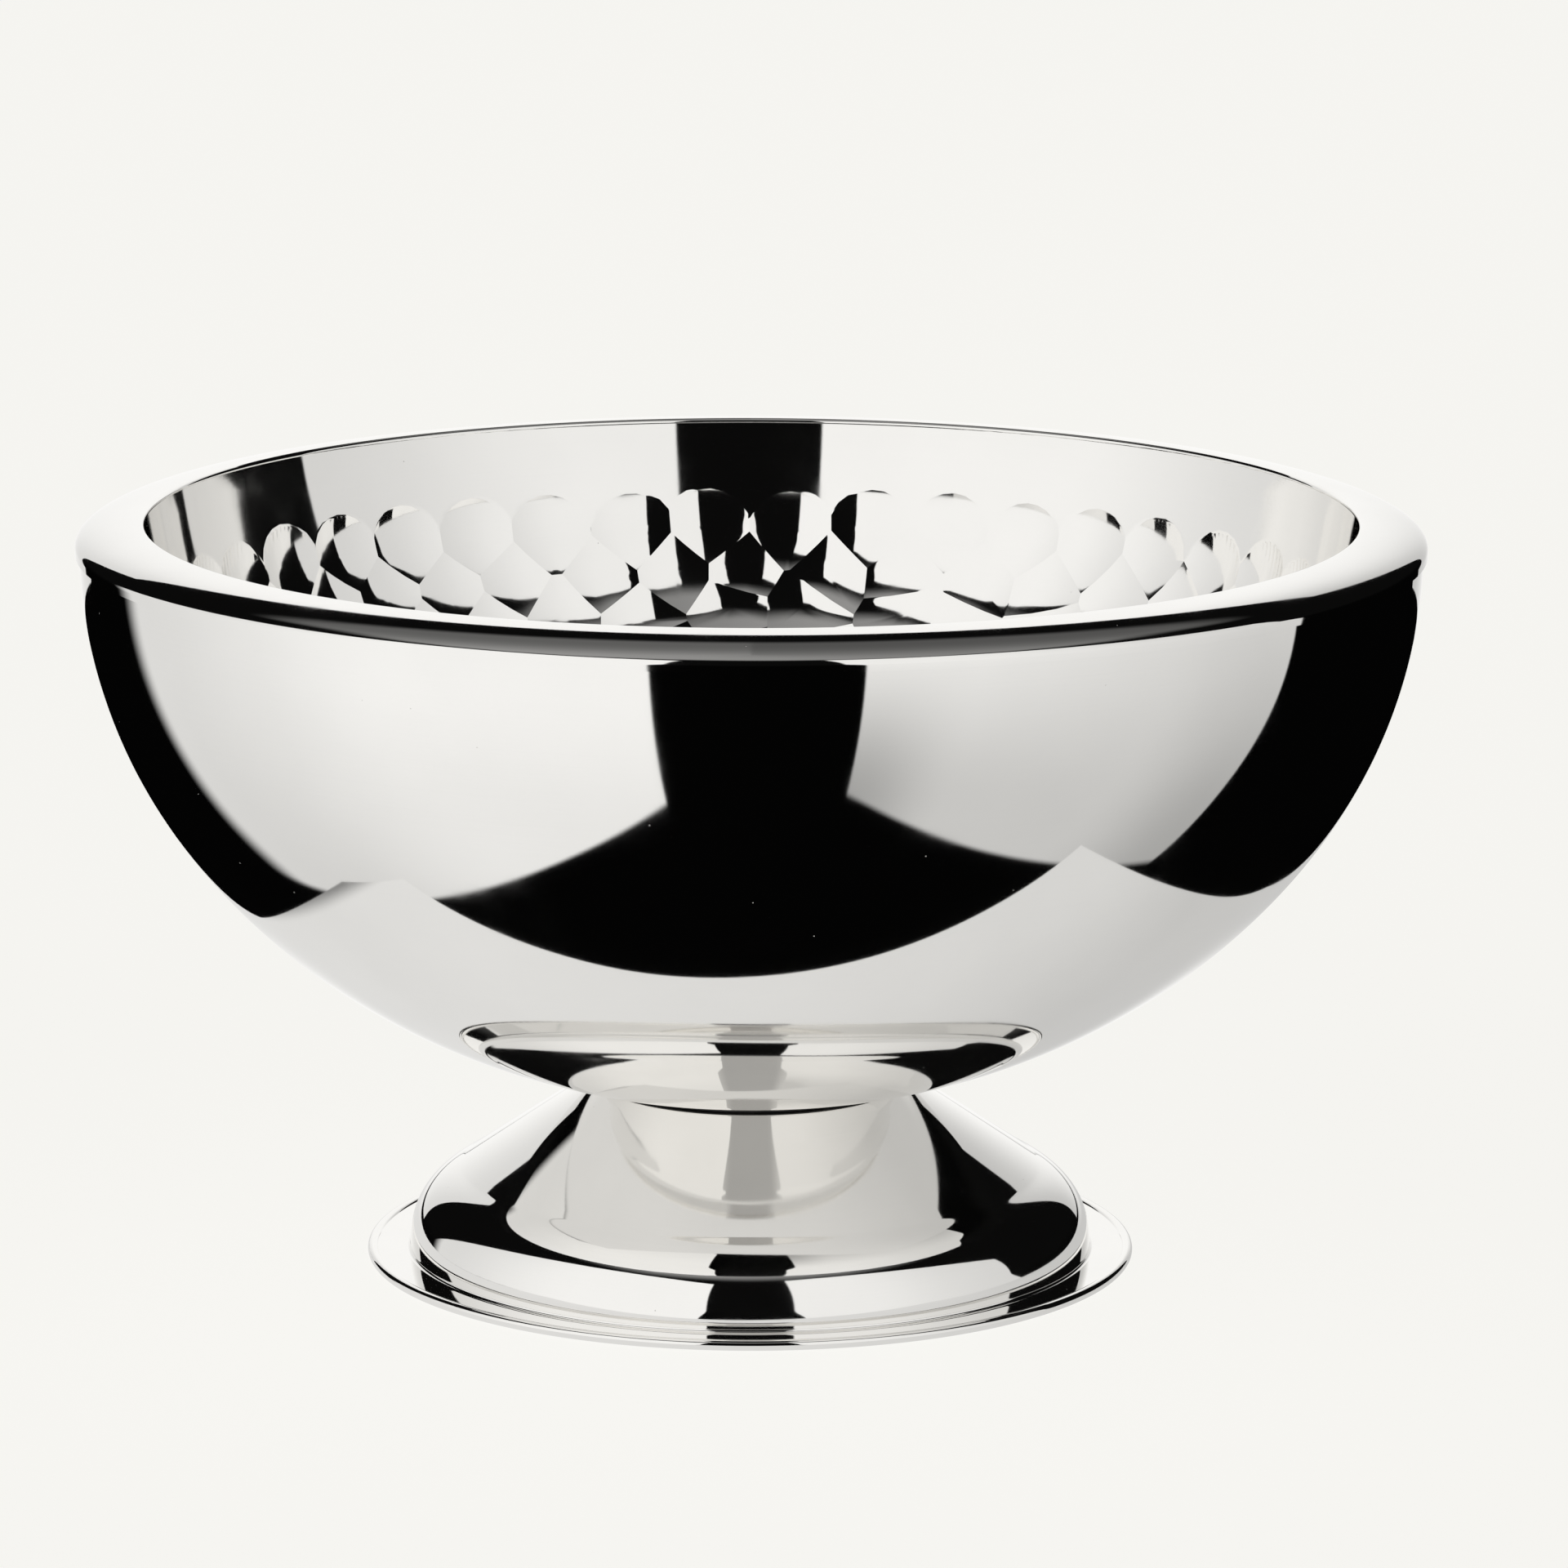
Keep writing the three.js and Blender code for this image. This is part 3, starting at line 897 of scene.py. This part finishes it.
def rubber(name):
    """Black rubber with a fine grain and a pale bloom here and there."""
    material = bpy.data.materials.new(name)
    tree = Tree(material)
    grain = tree.noise(tree.object_vector(), 2200.0, 3.0)
    bloom = tree.noise(tree.object_vector(), 120.0, 4.0)
    colour = tree.ramp(bloom, (0.3, (0.012, 0.012, 0.012)), (0.75, (0.032, 0.031, 0.030)))
    bump = tree.node("ShaderNodeBump", {"Height": grain, "Distance": 0.03 * MM})
    shader = tree.node("ShaderNodeBsdfPrincipled", {
        "Base Color": colour, "Roughness": bloom * 0.3 + 0.42, "Normal": bump.outputs[0]})
    tree.node("ShaderNodeOutputMaterial", {"Surface": shader.outputs[0]})
    return material


def cork(name):
    """Pressed cork: grains of several browns, with dark pits between them."""
    material = bpy.data.materials.new(name)
    tree = Tree(material)
    here = tree.object_vector()
    grains = tree.node("ShaderNodeTexVoronoi", {"Vector": here, "Scale": 420.0})
    pits = tree.noise(here, 700.0, 5.0)
    shade = tree.field(grains.outputs["Color"]) * 0.6 + pits * 0.4
    colour = tree.ramp(shade, (0.22, (0.09, 0.045, 0.02)), (0.42, (0.40, 0.24, 0.12)),
                       (0.75, (0.58, 0.39, 0.22)))
    bump = tree.node("ShaderNodeBump", {"Height": shade, "Distance": 0.25 * MM})
    shader = tree.node("ShaderNodeBsdfPrincipled", {
        "Base Color": colour, "Roughness": pits * 0.2 + 0.75, "Normal": bump.outputs[0]})
    tree.node("ShaderNodeOutputMaterial", {"Surface": shader.outputs[0]})
    return material


def resin(name):
    """Cast sealing resin: grey, slightly cloudy, with small bubbles."""
    material = bpy.data.materials.new(name)
    tree = Tree(material)
    here = tree.object_vector()
    clouds = tree.noise(here, 90.0, 4.0)
    cells = tree.node("ShaderNodeTexVoronoi", {"Vector": here, "Scale": 600.0})
    bubbles = tree.field(cells.outputs["Distance"])
    colour = tree.ramp(clouds, (0.3, (0.20, 0.21, 0.21)), (0.7, (0.31, 0.32, 0.32)))
    bump = tree.node("ShaderNodeBump", {"Height": bubbles.between(0.1, 0.35), "Distance": 0.08 * MM})
    shader = tree.node("ShaderNodeBsdfPrincipled", {
        "Base Color": colour, "Roughness": clouds * 0.25 + 0.35, "Normal": bump.outputs[0]})
    tree.node("ShaderNodeOutputMaterial", {"Surface": shader.outputs[0]})
    return material


# ---------------------------------------------------------------- the studio

def studio_world(scene):
    """A dark studio with a large light area on either side and a grey ceiling.

    The camera itself sees the plain backdrop; everything else sees the studio. Each light area lies between
    two upright edges, below one tilted plane and above another.
    """
    world = bpy.data.worlds.new("studio")
    scene.world = world
    tree = Tree(world)
    x, y, z = tree.position("Generated")
    flat = (x * x + y * y).math("SQRT").math("MAXIMUM", 1e-4)
    azimuth = x.math("ARCTAN2", y * -1.0) * math.degrees(1)
    elevation = z.math("ARCTAN2", flat) * math.degrees(1)
    slope = z / flat

    def facing(degrees):
        """Cosine of the azimuth measured from a direction."""
        a = math.radians(degrees)
        return (x * math.sin(a) - y * math.cos(a)) / flat

    raised = elevation.between(-8.0, 5.0)  # the parts low down see the panels' edges from nearer the middle
    left_near = raised * 3.0 - 17.0
    right_near = raised * -4.0 + 19.0
    right_far = raised * -7.0 + 105.0

    def below(towards, tilt):
        """1 below a plane that rises towards an azimuth, by a tilt in degrees."""
        return (facing(towards) * math.tan(math.radians(tilt)) - slope).after(0.0, TOP_SOFT)

    def above(towards, fall):
        """1 above a plane that falls towards an azimuth, by a slope."""
        return (facing(towards) * fall + slope).after(0.0, FOOT_SOFT)

    left_mask = (azimuth.between(-134.5, -127.5) * azimuth.before(left_near, EDGE_SOFT)
                 * below(-45, 48) * above(-72, 1.65))
    left_light = (azimuth.between(-124.0, -60.0, linear(0.86), linear(0.955))
                  * elevation.between(-50.0, -15.0, 0.9, 1.0))

    right_mask = (azimuth.after(right_near, EDGE_SOFT) * azimuth.before(right_far, FAR_EDGE_SOFT)
                  * below(30, 50) * above(67, 1.33))
    right_top = azimuth.between(30.0, 98.0, linear(0.93), linear(0.83))
    right_low = (azimuth.between(19.0, 40.0, linear(0.64), linear(0.78))
                 * azimuth.between(72.0, 104.0, 1.0, 0.68))
    right_light = elevation.between(-44.0, 0.0, right_low, right_top)

    ceiling_mask = elevation.between(y.between(0.2, 0.5, 48.0, 42.0), y.between(0.2, 0.5, 58.0, 50.0))
    ceiling_light = y.between(-0.4, 0.6, linear(0.57), linear(0.36)) * azimuth.between(-60.0, 60.0, 1.0, 0.75)
    gap_glow = raised * 0.002 + 0.001

    light = ceiling_mask * ceiling_light + gap_glow
    light = left_mask.mix(light, left_light)
    light = right_mask.mix(light, right_light)
    # Light that has gone back and forth between foot and bowl finds the dark parts filled in.
    fill = azimuth.math("ABSOLUTE").between(12.0, 20.0, linear(0.68), linear(0.80))
    ray = tree.node("ShaderNodeLightPath")
    bounces = tree.field(ray.outputs["Glossy Depth"])
    light = bounces.between(2.4, 2.6).mix(light, light.math("MAXIMUM", fill))
    colour = tree.node("ShaderNodeCombineColor", {i: light * STUDIO_TINT[i] for i in range(3)})
    studio = tree.node("ShaderNodeBackground", {
        "Color": colour.outputs[0], "Strength": 1 / SILVER_REFLECTANCE})
    backdrop = tree.node("ShaderNodeBackground", {"Color": (*BACKDROP, 1)})
    seen = tree.node("ShaderNodeMixShader", {
        0: ray.outputs["Is Camera Ray"], 1: studio.outputs[0], 2: backdrop.outputs[0]})
    tree.node("ShaderNodeOutputWorld", {"Surface": seen.outputs[0]})


def plane(name, corners):
    """A flat piece of the stage, from its corners in millimetres."""
    mesh = bpy.data.meshes.new(name)
    mesh.from_pydata([Vector(corner) * MM for corner in corners], [], [tuple(range(len(corners)))])
    thing = bpy.data.objects.new(name, mesh)
    bpy.context.scene.collection.objects.link(thing)
    return thing


def glowing_card(name, corners, material_name, brightness):
    """A lit surface that only the metal sees; brightness is worked out from x and y in metres."""
    thing = plane(name, corners)
    material = bpy.data.materials.new(material_name)
    tree = Tree(material)
    x, y, _ = tree.position()
    strength = brightness(x, y) * (1 / SILVER_REFLECTANCE)
    glow = tree.node("ShaderNodeEmission", {"Color": STUDIO_TINT, "Strength": strength})
    tree.node("ShaderNodeOutputMaterial", {"Surface": glow.outputs[0]})
    thing.data.materials.append(material)
    thing.visible_camera = False
    thing.visible_diffuse = False
    thing.visible_shadow = False


def table_light(x, y):
    """Brightness of the table: white behind the foot, a little greyer to its sides and in front."""
    front = x.between(-0.26, 0.26, linear(0.88), linear(0.84))
    side = x.between(-0.12, 0.16, linear(0.86), linear(0.77))
    middle = y.between(0.10, 0.30) * x.math("ABSOLUTE").between(0.15, 0.27, 1.0, 0.0)
    edge = x.between(-0.285, -0.262, 0.3, 1.0)
    return middle.mix(y.between(-0.2, 0.0, front, side), linear(0.96)) * edge


def wall_light(x, y):
    """Brightness of the wall, which falls off to both sides."""
    left = x.between(-0.8, -0.25, linear(0.85), linear(0.965))
    right = x.between(0.25, 0.77, 1.0, linear(0.76) / linear(0.965))
    return left * right


def floor():
    """Pale floor. It mostly glows, so that it shows only a faint soft shadow."""
    thing = plane("floor", [(x, y, FLOOR_DROP) for x, y in FLOOR_CORNERS])
    material = bpy.data.materials.new("pale_floor")
    tree = Tree(material)
    faint = tree.noise(tree.object_vector(), 3.0, 2.0)
    colour = tree.ramp(faint, (0.2, (0.8, 0.8, 0.78)), (0.8, (0.81, 0.81, 0.79)))
    glow = tree.node("ShaderNodeEmission", {"Color": (*BACKDROP, 1), "Strength": FLOOR_GLOW})
    matt = tree.node("ShaderNodeBsdfDiffuse", {"Color": colour})
    weak = tree.node("ShaderNodeMixShader", {0: FLOOR_MATT, 2: matt.outputs[0]})
    both = tree.node("ShaderNodeAddShader", {0: glow.outputs[0], 1: weak.outputs[0]})
    tree.node("ShaderNodeOutputMaterial", {"Surface": both.outputs[0]})
    thing.data.materials.append(material)
    thing.visible_glossy = False


def camera():
    """A long lens far in front, looking a little down."""
    data = bpy.data.cameras.new("camera")
    data.sensor_width = SENSOR_WIDTH
    data.lens = LENS
    data.clip_end = 60.0
    thing = bpy.data.objects.new("camera", data)
    bpy.context.scene.collection.objects.link(thing)
    thing.location = CAMERA_PLACE
    level = math.cos(VIEW_PITCH)
    forward = Vector((math.sin(VIEW_YAW) * level, math.cos(VIEW_YAW) * level, -math.sin(VIEW_PITCH)))
    turn = forward.to_track_quat("-Z", "Y").to_matrix() @ Euler((0, 0, VIEW_ROLL)).to_matrix()
    thing.rotation_euler = turn.to_euler()
    bpy.context.scene.camera = thing


# ---------------------------------------------------------------- the whole

def place(piece, material, slot, *nodes):
    """Gives a piece its material and its body, and hides the CAD nodes that it stands for."""
    piece.data.materials.append(material)
    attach(piece, "root")
    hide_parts(*nodes)


def main():
    scene = bpy.context.scene
    scene.view_settings.view_transform = "Standard"
    polished = silver("polished_silver", SILVER_TINT, roughness=0.018, patches=0.03, streak_depth=0.0006 * MM)
    hammered = silver("hammered_silver", SILVER_TINT, roughness=0.028, patches=0.05, streak_depth=0.0012 * MM)
    bare_steel = steel("plain_steel")
    place(inner_bowl(), hammered, "hammered_silver", "inner_bowl")
    place(outer_shell(), polished, "polished_silver", "outer_shell")
    place(pedestal_foot(), polished, "polished_silver", "pedestal_foot")
    place(foot_edge_wire(), bare_steel, "plain_steel", "foot_edge_wire")
    place(rim_bond_ring(), resin("sealing_resin"), "sealing_resin", "rim_bond_ring")
    place(seat_gasket(), rubber("black_rubber"), "black_rubber", "seat_gasket")
    stud_plate = ring_piece("stud_plate_turned", "stud_plate", 0.3, STUD_HOLE_R)
    place(stud_plate, bare_steel, "plain_steel", "stud_plate")
    support_pad = ring_piece("support_pad_cut", "support_pad", 0.6, PAD_INNER_R)
    place(support_pad, cork("cork"), "cork", "support_pad")
    place(spreader_plate(), bare_steel, "plain_steel", "spreader_plate")
    place(spring_washer(), bare_steel, "plain_steel", "spring_washer")
    place(hex_nut(), bare_steel, "plain_steel", "hex_nut")
    place(foot_stud(), bare_steel, "plain_steel", "foot_stud")
    floor()
    glowing_card("table_card", [(x, y, TABLE_DROP) for x, y in TABLE_CORNERS], "lit_table", table_light)
    glowing_card("wall_card", WALL_CORNERS, "lit_wall", wall_light)
    studio_world(scene)
    camera()


main()
